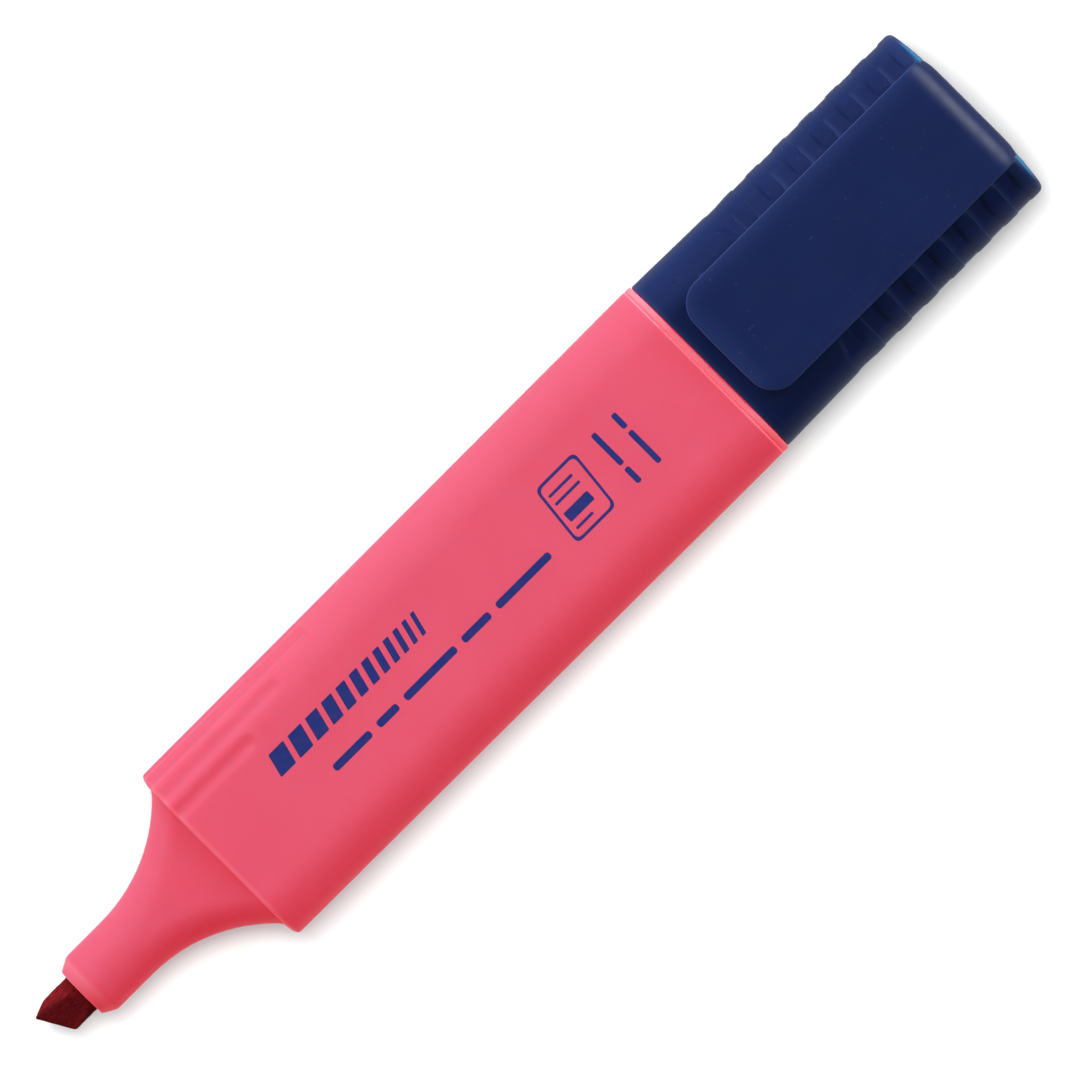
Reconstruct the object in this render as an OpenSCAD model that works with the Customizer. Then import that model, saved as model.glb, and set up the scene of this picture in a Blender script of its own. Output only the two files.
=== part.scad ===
// Flat chisel-tip highlighter pen, with its clip cap posted on the rear end.
// Millimetres. +X runs from the nib to the cap and +Z is up: the pen lies on its flat back, clip up.
// The origin lies on the resting surface, under the middle of the overall length.

/* [Barrel] */
// Length of the barrel shell
barrel_len = 82.7; // [70:0.1:95]
// Width of the barrel at its front edge
barrel_front_w = 26.75; // [26.4:0.05:27]
// Width of the barrel at its rear edge
barrel_rear_w = 27.2; // [27:0.05:28]
// Thickness of the barrel from flat to flat
barrel_t = 15.8; // [15.4:0.1:16.4]
// Radius that joins the flats to the narrow sides
side_r = 6.3; // [5.6:0.1:6.8]
// Wall thickness of the barrel
barrel_wall = 1.7; // [1.4:0.05:1.9]
// Size of the softened edge round the barrel's front end
barrel_edge = 0.6; // [0.2:0.1:1]

/* [Grip flutes] */
// Flutes between the edge of the flat and the middle of the narrow side
flute_steps = 4; // [1:1:5]
// Length of the shortest flute, at the edge of the flat
flute_len = 13.6; // [8:0.1:20]
// How much longer each next flute is, going round the side
flute_growth = 6.7; // [2:0.1:8]
// Radius of the flute's round floor
flute_r = 1.5; // [1.2:0.1:2]
// Depth of a flute
flute_depth = 0.35; // [0.1:0.05:0.5]

/* [Nose section] */
// Length of the nose from its collar to the barrel
nose_len = 23.25; // [22:0.05:26]
// Radius of the neck, where a cap seals
neck_r = 4.43; // [4.2:0.01:4.5]
// Length of the true cylinder of the neck
neck_len = 5.9; // [4:0.1:7]
// Radius of the flat end face of the collar
collar_r = 3.5; // [3.2:0.05:3.9]
// Length of the collar's sloping shoulder
collar_len = 1.7; // [1:0.1:2]
// Half of the width of the nose where it meets the barrel
nose_half_w = 11.4; // [11:0.05:11.5]
// Half of the thickness of the nose where it meets the barrel
nose_half_t = 5.9; // [5.6:0.05:6]
// Length of the plug that fits inside the barrel
nose_plug_len = 8; // [5:0.5:12]

/* [Nib] */
// How far the nib stands out of the collar
nib_out = 6.25; // [5:0.05:7]
// Width of the fibre nib, the diameter of its rounded sides
nib_w = 5.35; // [4.8:0.05:5.5]
// Thickness of the nib between its flats
nib_t = 4.2; // [3.6:0.1:4.6]
// Thickness left at the chisel edge
nib_edge_t = 1.1; // [0.8:0.1:1.5]
// How far the nib's point lies off the pen's axis
nib_point_y = 1.78; // [1:0.02:2]
// Angle of the chisel edge away from square
nib_slant = 30; // [15:1:35]
// Angle of the short bevel beside the point to the nib's length
nib_bevel = 22; // [18:1:30]
// Angle of each wedge face to the nib's length
nib_wedge = 22; // [18:1:28]

/* [Rear plug] */
// Thickness of the rim that shows behind the barrel
rim_t = 0.85; // [0.6:0.05:1.5]
// Length of the skirt inside the barrel
skirt_len = 6; // [4:0.5:9]
// Length of the spigot that carries the posted cap
spigot_len = 9; // [6:0.5:12]
// Gap all round between the spigot and the cap
post_gap = 0.2; // [0.15:0.01:0.3]

/* [Reservoir] */
// Width of the fibre core
core_w = 19.6; // [17:0.1:20]
// Thickness of the fibre core
core_t = 9.6; // [8.6:0.1:9.8]
// Thickness of the film round the core
film_t = 0.2; // [0.1:0.05:0.25]

/* [Cap] */
// Length of the cap from its mouth to its domed end
cap_len = 44.1; // [42:0.1:50]
// Width of the cap at its mouth
cap_mouth_w = 26.8; // [26.6:0.05:27]
// Width of the cap at its closed end
cap_end_w = 26.4; // [26.3:0.05:26.7]
// Thickness of the cap from flat to flat
cap_t = 15.4; // [15.2:0.05:15.4]
// Wall thickness of the cap at its mouth
cap_wall = 1.55; // [1.4:0.05:1.6]
// Rise of the domed end
dome_rise = 0.6; // [0.3:0.1:0.9]
// Gap between the posted cap and the rim
cap_gap = 0.3; // [0.2:0.05:0.6]
// Number of recesses between the grip ribs
rib_count = 7; // [3:1:7]
// Distance from one rib to the next
rib_pitch = 4.5; // [3.6:0.1:4.6]
// Width of each recess
rib_recess = 2.45; // [1.5:0.05:2.8]
// Depth of each recess
rib_depth = 0.2; // [0.1:0.05:0.3]

/* [Inner cap] */
// Gap between the sealing bore and the neck that it closes on
seal_gap = 0.07; // [0.03:0.01:0.1]
// Wall of the sealing thimble
seal_wall = 0.9; // [0.7:0.1:1]
// Depth of the thimble's mouth inside the cap
seal_start = 15.8; // [15.6:0.1:17]
// Depth of the sealing bore
seal_depth = 17; // [15:0.5:18]

/* [Clip] */
// Length of the clip
clip_len = 42.3; // [38:0.1:43]
// Width of the clip
clip_w = 16.9; // [14:0.1:18]
// Thickness of the clip's plate
clip_t = 1.9; // [1.6:0.1:2.2]
// Space between the clip and the cap
clip_gap = 1.3; // [1.1:0.1:1.6]
// Corner radius of the clip's free end
clip_corner_r = 3.4; // [2:0.1:5]
// Bevel along the clip's top edges
clip_bevel = 0.5; // [0.2:0.1:0.7]

/* [Hidden] */
$fn = 96;
hull_fn = 64;
cut = 1;
slice = 0.01;
fit = 0.02;
pink = "#e9586e";
navy = "#1f2c66";
nib_red = "#7a1420";

// Stations along the pen, from the nib's tip to the end of the cap.
clip_proud = 0.1;
pen_len = nib_out + nose_len + barrel_len + rim_t + cap_gap + cap_len + clip_proud;
x_tip = -pen_len / 2;
x_collar = x_tip + nib_out;
x_neck_end = x_collar + collar_len + neck_len;
x_seam = x_collar + nose_len;
x_rear = x_seam + barrel_len;
x_rim = x_rear + rim_t;
x_spigot = x_rim + spigot_len;
x_mouth = x_rim + cap_gap;
x_end = x_mouth + cap_len;
axis_z = barrel_t / 2;

// The inside of the barrel, of the cap, and of the two plugs that hold the core.
bore_w = barrel_front_w - 2 * barrel_wall;
bore_t = barrel_t - 2 * barrel_wall;
bore_r = side_r - barrel_wall;
cap_bore_w = cap_mouth_w - 2 * cap_wall;
cap_bore_t = cap_t - 2 * cap_wall;
cap_bore_r = side_r - cap_wall;
cap_end_wall = 1.8;
core_gap = 0.1;
sleeve_w = core_w + 2 * film_t + 2 * core_gap;
sleeve_t = core_t + 2 * film_t + 2 * core_gap;
core_front = x_seam + 4;
nose_hollow = 6;
core_rear = x_rear - 1;
nib_r = nib_w / 2;
seal_r = neck_r + seal_gap;
stub_r = seal_r - 0.4;
stub_len = 4;
tail_r = 2.2;
tail_depth = 5;

// The clip turns in a round seat at the end of the cap.
knuckle_r = (clip_gap + clip_t + 2) / 2;
seat_gap = 0.12;
x_knuckle = x_end + clip_proud - knuckle_r;
z_clip_top = axis_z + cap_t / 2 + clip_gap + clip_t;
z_knuckle = z_clip_top - knuckle_r;

// A rectangle with round corners, w along Y and t along Z once it stands across the pen.
module rounded_rect(w, t, r) {
    square([w, t - 2 * r], center = true);
    square([w - 2 * r, t], center = true);
    for (side = [-1, 1], level = [-1, 1])
        translate([side * (w / 2 - r), level * (t / 2 - r)]) circle(r);
}

// A rectangle with fully round ends.
module stadium(w, t) {
    square([w - t, t], center = true);
    for (side = [-1, 1]) translate([side * (w - t) / 2, 0]) circle(d = t);
}

// Stands a drawing across the pen's axis at station x and extrudes it along +X.
module across(x, len) {
    translate([x, 0, axis_z]) rotate([90, 0, 90]) linear_extrude(len) children();
}

module bar(x0, x1, w, t, r) {
    across(x0, x1 - x0) rounded_rect(w, t, r);
}

module rod(x0, x1, r0, r1) {
    translate([x0, 0, axis_z]) rotate([0, 90, 0]) cylinder(h = x1 - x0, r1 = r0, r2 = r1);
}

// A thin slice of the pen's outline, drawn in by inset, for hulls.
module outline_slice(x, w, t, inset) {
    bar(x, x + slice, w - 2 * inset, t - 2 * inset, side_r - inset, $fn = hull_fn);
}

// Where a flute lies: a is the distance round the corner from the edge of the upper flat.
quarter = PI * side_r / 2;
half_side = quarter + barrel_t / 2 - side_r;
flute_step = half_side / flute_steps;
function flute_tilt(a) = 90 * min(a / quarter, 1);
function flute_y(a) = barrel_front_w / 2 - side_r + (side_r + flute_r - flute_depth) * sin(flute_tilt(a));
function flute_z(a) = barrel_t / 2 - side_r + (side_r + flute_r - flute_depth) * cos(flute_tilt(a))
    - max(a - quarter, 0);

module flute(a, len) {
    for (level = a < half_side - slice ? [-1, 1] : [1])
        translate([x_seam - cut, flute_y(a), axis_z + level * flute_z(a)]) {
            rotate([0, 90, 0]) cylinder(h = len + cut - flute_r, r = flute_r);
            translate([len + cut - flute_r, 0, 0]) sphere(flute_r);
        }
}

module barrel() {
    color(pink) difference() {
        hull() {
            outline_slice(x_seam, barrel_front_w, barrel_t, barrel_edge);
            outline_slice(x_seam + barrel_edge, barrel_front_w, barrel_t, 0);
            outline_slice(x_rear - slice, barrel_rear_w, barrel_t, 0);
        }
        bar(x_seam - cut, x_rear + cut, bore_w, bore_t, bore_r);
        for (i = [0:flute_steps]) flute(i * flute_step, flute_len + i * flute_growth);
    }
}

// The flare: a circle at the neck that grows into a rounded rectangle at the barrel.
flare_rings = 14;
corner_steps = 10;
flare_len = x_seam - x_neck_end;
function arc_rise(x, rise) = let (r = (flare_len ^ 2 + rise ^ 2) / (2 * rise)) r - sqrt(r ^ 2 - x ^ 2);
function flare_w(x) = neck_r + arc_rise(x, nose_half_w - neck_r);
function flare_t(x) = neck_r + arc_rise(x, nose_half_t - neck_r);
function flare_ring(x) = let (w = flare_w(x), t = flare_t(x), r = neck_r - 0.04)
    [for (corner = [0:3], i = [0:corner_steps])
        let (a = 90 * (corner + i / corner_steps), c = 90 * corner + 45)
        [x, sign(cos(c)) * (w - r) + r * cos(a), sign(sin(c)) * (t - r) + r * sin(a)]];

module flare() {
    count = 4 * (corner_steps + 1);
    points = [for (k = [0:flare_rings]) each flare_ring(k * flare_len / flare_rings)];
    sides = [for (k = [0:flare_rings - 1], i = [0:count - 1])
        let (a = k * count + i, b = k * count + (i + 1) % count) [a, a + count, b + count, b]];
    front = [[for (i = [0:count - 1]) i]];
    back = [[for (i = [1:count]) (flare_rings + 1) * count - i]];
    translate([x_neck_end, 0, axis_z]) polyhedron(points, concat(front, sides, back), convexity = 4);
}

module nose_section() {
    color(pink) difference() {
        union() {
            rod(x_collar, x_collar + collar_len, collar_r, neck_r);
            rod(x_collar + collar_len, x_neck_end, neck_r, neck_r);
            flare();
            bar(x_seam, x_seam + nose_plug_len, bore_w - 2 * fit, bore_t - 2 * fit, bore_r - fit);
        }
        rod(x_collar - cut, core_front + cut, nib_r + fit, nib_r + fit);
        across(x_seam - nose_hollow, core_front - x_seam + nose_hollow + cut) stadium(10.4, 8.4);
        across(core_front, nose_plug_len) stadium(sleeve_w, sleeve_t);
    }
}

// What the cuts at the point leave: two wedge faces that meet at the slanted edge, and a bevel.
module nib_point_space() {
    reach = 60;
    grow = reach * tan(nib_wedge);
    edge = nib_edge_t / 2;
    translate([x_tip, nib_point_y, axis_z]) {
        rotate([90, 0, nib_slant]) translate([0, 0, -reach / 2]) linear_extrude(reach)
            polygon([[0, -edge], [reach, -edge - grow], [reach, edge + grow], [0, edge]]);
    }
}

module nib_bevel_space() {
    reach = 60;
    translate([x_tip, nib_point_y, axis_z]) rotate([0, 0, nib_bevel])
        translate([-reach / 2, -reach, -reach / 2]) cube([2 * reach, reach, reach]);
}

module nib() {
    color(nib_red) union() {
        intersection() {
            rod(x_tip, core_front, nib_r, nib_r);
            translate([x_tip, -nib_w, axis_z - nib_t / 2]) cube([core_front - x_tip, 2 * nib_w, nib_t]);
            nib_point_space();
            nib_bevel_space();
        }
        rod(core_front - cut, core_front + tail_depth, tail_r, tail_r);
    }
}

// Low ribs along the flats of the spigot, which steady the posted cap.
module post_ribs() {
    rib_w = 0.8;
    proud = post_gap / 2;
    for (side = [-1, 1])
        across(x_rim - slice, spigot_len - 1)
            translate([side * cap_bore_w / 4, 0])
                square([rib_w, cap_bore_t - 2 * post_gap + 2 * proud], center = true);
}

module rear_plug() {
    color(pink) difference() {
        union() {
            bar(x_rear - skirt_len, x_rear + slice, bore_w - 2 * fit, bore_t - 2 * fit, bore_r - fit);
            bar(x_rear, x_rim, barrel_rear_w, barrel_t, side_r);
            bar(x_rim - slice, x_spigot, cap_bore_w - 2 * post_gap, cap_bore_t - 2 * post_gap,
                cap_bore_r - post_gap);
            post_ribs();
        }
        across(x_rear - skirt_len - cut, core_rear - x_rear + skirt_len + cut) stadium(sleeve_w, sleeve_t);
        across(core_rear - cut, x_spigot - barrel_wall - core_rear + cut) stadium(sleeve_w - 3, sleeve_t - 3);
    }
}

module ink_reservoir() {
    color("#f2a6b0") difference() {
        across(core_front, core_rear - core_front) stadium(core_w, core_t);
        rod(core_front - cut, core_front + tail_depth + fit, tail_r + fit, tail_r + fit);
    }
}

module reservoir_film() {
    color("#e8eef2") difference() {
        across(core_front, core_rear - core_front) stadium(core_w + 2 * film_t, core_t + 2 * film_t);
        across(core_front - cut, core_rear - core_front + 2 * cut) stadium(core_w + fit, core_t + fit);
    }
}

// The recesses between the ribs run round each narrow side and a little way onto the flats.
module rib_recesses() {
    face_reach = 5;
    first = x_end - 2.45 - rib_recess - (rib_count - 1) * rib_pitch;
    for (i = [0:rib_count - 1])
        across(first + i * rib_pitch, rib_recess) difference() {
            square([2 * cap_mouth_w, 2 * cap_t], center = true);
            rounded_rect(cap_end_w - 2 * rib_depth, cap_t - 2 * rib_depth, side_r - rib_depth);
            square([2 * face_reach, 3 * cap_t], center = true);
        }
}

// What stays solid inside the closed end: a boss under the clip's seat, and the stub of the thimble.
module end_boss() {
    boss_w = clip_w + 3;
    reach = knuckle_r + 1.6;
    x_floor = x_end - cap_end_wall;
    difference() {
        translate([x_knuckle - reach, -boss_w / 2, z_knuckle - reach]) cube([3 * reach, boss_w, 2 * reach]);
        rod(x_floor - 3 * reach, x_floor, seal_r + seal_wall + fit, seal_r + seal_wall + fit);
    }
    rod(x_floor - stub_len, x_end, stub_r - fit, stub_r - fit);
}

module cap_shell() {
    color(navy) difference() {
        hull() {
            outline_slice(x_mouth, cap_mouth_w, cap_t, 0);
            outline_slice(x_mouth + cap_len / 4, cap_end_w, cap_t, 0);
            outline_slice(x_end - dome_rise - 1, cap_end_w, cap_t, 0);
            outline_slice(x_end - dome_rise, cap_end_w, cap_t, 0.7);
            outline_slice(x_end - slice, cap_end_w, cap_t, 5);
        }
        difference() {
            bar(x_mouth - cut, x_end - cap_end_wall, cap_bore_w, cap_bore_t, cap_bore_r);
            end_boss();
        }
        rib_recesses();
        knuckle(seat_gap);
    }
}

module inner_cap() {
    front = x_mouth + seal_start;
    back = x_end - cap_end_wall;
    lead_in = 0.5;
    floor_t = 1;
    color(navy) difference() {
        rod(front, back, seal_r + seal_wall, seal_r + seal_wall);
        rod(front - slice, front + 4 * lead_in, seal_r + lead_in, seal_r);
        rod(front, front + seal_depth, seal_r, seal_r);
        rod(front + seal_depth + floor_t, back + cut, stub_r, stub_r);
    }
}

// The round root of the clip, or with a gap the seat that it turns in.
module knuckle(gap) {
    wide = clip_w + 2 * gap;
    translate([x_knuckle, wide / 2, z_knuckle]) rotate([90, 0, 0]) cylinder(h = wide, r = knuckle_r + gap);
}

// The plan of the clip, drawn in by inset, from its free end to the knuckle's middle.
module clip_plan(inset) {
    r = clip_corner_r - inset;
    x0 = x_end + clip_proud - clip_len + inset;
    half = clip_w / 2 - inset;
    for (side = [-1, 1]) translate([x0 + r, side * (half - r)]) circle(r);
    translate([x0, r - half]) square([r, 2 * (half - r)]);
    translate([x0 + r, -half]) square([x_knuckle - x0 - r, 2 * half]);
}

module cap_clip() {
    z_under = z_clip_top - clip_t;
    bead_r = 0.8;
    color(navy) union() {
        hull() {
            translate([0, 0, z_under]) linear_extrude(clip_t - clip_bevel) clip_plan(0, $fn = hull_fn);
            translate([0, 0, z_under]) linear_extrude(clip_t) clip_plan(clip_bevel, $fn = hull_fn);
        }
        translate([x_end - clip_len + 4, clip_w / 2 - 2, z_under]) rotate([90, 0, 0])
            cylinder(h = clip_w - 4, r = bead_r);
        knuckle(0);
    }
}

barrel();
nose_section();
nib();
rear_plug();
ink_reservoir();
reservoir_film();
cap_shell();
inner_cap();
cap_clip();
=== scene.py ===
"""The looks of a flat chisel-tip highlighter with its clip cap posted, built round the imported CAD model.

Shapes are worked out in millimetres and turned into metres as each mesh is made.
+X runs from the nib to the cap, +Y points to the side with the grip flutes, +Z is up.
"""

import math

import bpy
import numpy as np
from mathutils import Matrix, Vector, noise


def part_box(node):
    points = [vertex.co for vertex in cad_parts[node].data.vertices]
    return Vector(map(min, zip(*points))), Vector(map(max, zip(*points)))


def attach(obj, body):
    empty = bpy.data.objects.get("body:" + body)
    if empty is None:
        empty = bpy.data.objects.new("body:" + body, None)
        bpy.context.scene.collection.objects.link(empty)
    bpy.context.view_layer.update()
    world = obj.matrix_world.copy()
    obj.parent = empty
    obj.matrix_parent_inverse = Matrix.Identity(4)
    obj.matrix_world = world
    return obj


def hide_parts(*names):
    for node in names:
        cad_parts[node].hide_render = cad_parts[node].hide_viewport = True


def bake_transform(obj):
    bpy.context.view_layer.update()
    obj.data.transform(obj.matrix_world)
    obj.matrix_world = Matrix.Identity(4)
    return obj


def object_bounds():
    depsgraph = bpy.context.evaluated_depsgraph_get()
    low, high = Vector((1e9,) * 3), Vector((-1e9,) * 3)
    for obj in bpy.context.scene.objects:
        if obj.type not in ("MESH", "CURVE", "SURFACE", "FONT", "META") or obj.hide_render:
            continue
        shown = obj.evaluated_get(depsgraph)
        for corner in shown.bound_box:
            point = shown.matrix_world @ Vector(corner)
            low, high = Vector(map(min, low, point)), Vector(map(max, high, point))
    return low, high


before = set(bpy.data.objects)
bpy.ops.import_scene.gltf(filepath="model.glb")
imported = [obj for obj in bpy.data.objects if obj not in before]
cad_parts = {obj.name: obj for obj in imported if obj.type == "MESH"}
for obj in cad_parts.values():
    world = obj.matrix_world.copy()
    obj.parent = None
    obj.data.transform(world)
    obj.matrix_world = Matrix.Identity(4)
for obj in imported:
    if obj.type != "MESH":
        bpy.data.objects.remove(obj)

MM = 0.001
cad_low, cad_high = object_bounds()


def span(node):
    """Lowest and highest corner of a CAD node, in millimetres."""
    low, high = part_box(node)
    return np.array(low) / MM, np.array(high) / MM


# ---------------------------------------------------------------- stations, from the CAD parts

barrel_low, barrel_high = span("barrel")
nose_low, _ = span("nose_section")
nib_low, _ = span("nib")
plug_low, plug_high = span("rear_plug")
shell_low, shell_high = span("cap_shell")
thimble_low, thimble_high = span("inner_cap")
clip_low, clip_high = span("cap_clip")
core_low, core_high = span("ink_reservoir")
film_low, film_high = span("reservoir_film")

FRONT_TAPER = 0.225
CAP_TAPER = 0.2
MOUTH_LAP = 0.2
SIDE_R = 6.3
WALL = 1.7
CAP_WALL = 1.55
PLUG_FIT = 0.02
X_TIP = nib_low[0]
X_COLLAR = nose_low[0]
X_SEAM = barrel_low[0]
X_REAR = barrel_high[0]
X_SPIGOT = plug_high[0]
X_MOUTH = shell_low[0] - MOUTH_LAP
X_END = shell_high[0]
AXIS_Z = (barrel_low[2] + barrel_high[2]) / 2
BODY_HALF_T = (barrel_high[2] - barrel_low[2]) / 2
CAP_HALF_T = (shell_high[2] - shell_low[2]) / 2
REAR_HALF_W = barrel_high[1]
FRONT_HALF_W = REAR_HALF_W - FRONT_TAPER
CAP_MOUTH_HALF_W = shell_high[1]
CAP_END_HALF_W = CAP_MOUTH_HALF_W - CAP_TAPER
BORE_HALF_W = FRONT_HALF_W - WALL
BORE_HALF_T = BODY_HALF_T - WALL
BORE_R = SIDE_R - WALL
PLUG_SECTION = (BORE_HALF_W - PLUG_FIT, BORE_HALF_T - PLUG_FIT, BORE_R - PLUG_FIT)


# ---------------------------------------------------------------- mesh helpers

def smooth(t):
    """0 below 0, 1 above 1, and an even slope between."""
    t = np.clip(t, 0, 1)
    return t * t * (3 - 2 * t)


def soften(path, cuts, steps=5):
    """The path with each inner corner replaced by a parabola that starts and ends `cut` from the corner."""
    path = [np.array(p, float) for p in path]
    points = [path[0]]
    for before, corner, after, cut in zip(path, path[1:], path[2:], cuts):
        back, ahead = before - corner, after - corner
        start = corner + back * min(cut / np.linalg.norm(back), 0.49)
        stop = corner + ahead * min(cut / np.linalg.norm(ahead), 0.49)
        for t in np.linspace(0, 1, steps + 1):
            points.append((1 - t) ** 2 * start + 2 * t * (1 - t) * corner + t ** 2 * stop)
    points.append(path[-1])
    return np.array(points)


def section(half_w, half_t, r, count):
    """Evenly spaced points round a rounded rectangle, from the middle of its +Y side.

    Gives the points, their outward normals, and how far round each lies from that middle.
    """
    flat_y, flat_z, arc = half_w - r, half_t - r, math.pi * r / 2
    quarter = flat_y + flat_z + arc
    along = np.arange(count) * 4 * quarter / count
    quadrant = np.minimum(along // quarter, 3).astype(int)
    local = along - quadrant * quarter
    local = np.where(quadrant % 2 == 1, quarter - local, local)
    angle = np.clip((local - flat_z) / r, 0, math.pi / 2)
    side = np.where((quadrant == 1) | (quadrant == 2), -1, 1)
    level = np.where(quadrant >= 2, -1, 1)
    y = flat_y + r * np.cos(angle) - np.maximum(local - flat_z - arc, 0)
    z = np.minimum(local, flat_z) + r * np.sin(angle)
    points = np.column_stack([side * y, level * z])
    normals = np.column_stack([side * np.cos(angle), level * np.sin(angle)])
    return points, normals, np.where(side > 0, local, 2 * quarter - local)


def ring(x, half_w, half_t, r, count):
    """A rounded rectangle that stands across the pen at station x."""
    points, _, _ = section(half_w, half_t, r, count)
    return np.column_stack([np.full(count, x), points[:, 0], points[:, 1] + AXIS_Z])


def round_ended(half_w, half_t):
    """Half width, half thickness and corner radius of a section whose narrow sides are round."""
    return half_w, half_t, half_t - 0.01


def inside(base, inset):
    """A section's half width, half thickness and corner radius, all drawn in."""
    return tuple(value - inset for value in base)


def skin(rings, loop=False, start=False, stop=False):
    """Points and faces of a skin over rings of equal count, closed on itself or at either end."""
    count, n = len(rings[0]), len(rings)
    faces = []
    for k in range(n if loop else n - 1):
        a, b = k * count, (k + 1) % n * count
        for i in range(count):
            j = (i + 1) % count
            faces.append((a + i, a + j, b + j, b + i))
    if start:
        faces.append(tuple(reversed(range(count))))
    if stop:
        faces.append(tuple(range((n - 1) * count, n * count)))
    return np.vstack(rings), faces


def make_object(name, mesh, material, sharp=32):
    """An object for the mesh, smooth but for edges sharper than `sharp` degrees."""
    mesh.materials.append(material)
    mesh.shade_smooth()
    mesh.set_sharp_from_angle(angle=math.radians(sharp))
    obj = bpy.data.objects.new(name, mesh)
    bpy.context.scene.collection.objects.link(obj)
    return obj


def make_piece(name, points, faces, material, sharp=32, **marks):
    """A mesh object from points in millimetres. Each mark is a number per point, for the material:

    edge is how pale the plastic is painted, mostly painted highlight and painted light on edges and sides;
    rim is a painted light blue glow on the cap's end; and dry is how pale the nib's round sides are, partly
    drier fibre and partly painted light.
    """
    mesh = bpy.data.meshes.new(name)
    mesh.from_pydata((np.asarray(points) * MM).tolist(), [], faces)
    mesh.update()
    for mark, values in marks.items():
        mesh.attributes.new(mark, "FLOAT", "POINT").data.foreach_set("value", np.asarray(values, np.float32))
    return make_object(name, mesh, material, sharp)


# ---------------------------------------------------------------- material helpers

class Finish:
    """A material whose nodes are added one by one, around its Principled shader."""

    def __init__(self, name, **settings):
        self.material = bpy.data.materials.new(name)
        self.material.use_nodes = True
        self.tree = self.material.node_tree
        self.shader = self.tree.nodes["Principled BSDF"]
        for socket, value in settings.items():
            self.shader.inputs[socket.replace("_", " ")].default_value = value
        self.place = self.tree.nodes.new("ShaderNodeTexCoord").outputs["Object"]

    def node(self, kind, inputs=(), **settings):
        """A node with its settings, and its inputs as constants or as links from other nodes."""
        made = self.tree.nodes.new(kind)
        for key, value in settings.items():
            setattr(made, key, value)
        for socket, value in dict(inputs).items():
            self.feed(made.inputs[socket], value)
        return made

    def feed(self, socket, value):
        if isinstance(value, bpy.types.NodeSocket):
            self.tree.links.new(value, socket)
        else:
            socket.default_value = value

    def noise(self, size, detail=2.0, stretch=(1, 1, 1), roughness=0.5):
        """Noise whose features are about `size` millimetres across, longer where stretch is more."""
        scale = tuple(1 / (size * MM * s) for s in stretch)
        moved = self.node("ShaderNodeMapping", {"Vector": self.place, "Scale": scale})
        made = self.node("ShaderNodeTexNoise", {"Vector": moved.outputs["Vector"], "Scale": 1.0,
                                                "Detail": detail, "Roughness": roughness})
        return made.outputs["Fac"]

    def spread(self, value, low, high, to_low=0.0, to_high=1.0):
        """Maps low..high of a value onto to_low..to_high, smoothly and no further."""
        made = self.node("ShaderNodeMapRange", {"Value": value, "From Min": low, "From Max": high,
                                                "To Min": to_low, "To Max": to_high},
                         interpolation_type="SMOOTHSTEP")
        return made.outputs["Result"]

    def mark(self, name):
        return self.node("ShaderNodeAttribute", attribute_name=name).outputs["Fac"]

    def multiply(self, a, b):
        return self.node("ShaderNodeMath", {0: a, 1: b}, operation="MULTIPLY").outputs[0]

    def mix(self, share, a, b):
        """From colour a at share 0 to colour b at share 1."""
        made = self.node("ShaderNodeMix", {"Factor": share}, data_type="RGBA")
        for index, value in ((6, a), (7, b)):
            self.feed(made.inputs[index], value)
        return made.outputs[2]

    def bump(self, height, depth, strength=1.0, under=None):
        """A bump of `depth` millimetres, laid over another one if `under` is its normal."""
        inputs = {"Height": height, "Distance": depth * MM, "Strength": strength}
        if under is not None:
            inputs["Normal"] = under
        return self.node("ShaderNodeBump", inputs).outputs["Normal"]

    def set(self, **links):
        for socket, value in links.items():
            self.feed(self.shader.inputs[socket.replace("_", " ")], value)
        return self.material


def rgb(red, green, blue):
    return (red, green, blue, 1.0)


def coral_plastic():
    """Satin coral polypropylene, a little translucent, with a fine grain and handling marks, a painted red
    glow and painted highlights on its edges.
    """
    # The red emission is a painted glow: the plastic shines by itself to stand in for light on its shaded
    # sides.
    f = Finish("coral_plastic", IOR=1.49, Subsurface_Weight=0.9, Subsurface_Scale=4.0 * MM,
               Specular_IOR_Level=0.3, Subsurface_Radius=(1.0, 0.1, 0.08),
               Emission_Color=(1.0, 0.02, 0.03, 1.0), Emission_Strength=0.56)
    broad = f.spread(f.noise(14, 3), 0.35, 0.65)
    colour = f.mix(broad, rgb(0.27, 0.104, 0.178), rgb(0.29, 0.111, 0.188))
    # The pale colour laid on by the edge mark is painted highlight: lines of light at seams, lips and
    # shoulders.
    colour = f.mix(f.mark("edge"), colour, rgb(0.46, 0.34, 0.42))
    fine = f.noise(0.16, 2)
    scuffs = f.noise(2.2, 4, (5, 1, 1), 0.65)
    under = f.bump(f.noise(9, 1), 0.05, 0.35)
    return f.set(Base_Color=colour, Roughness=f.spread(scuffs, 0.3, 0.72, 0.36, 0.5),
                 Normal=f.bump(fine, 0.006, 0.5, under))


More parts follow.
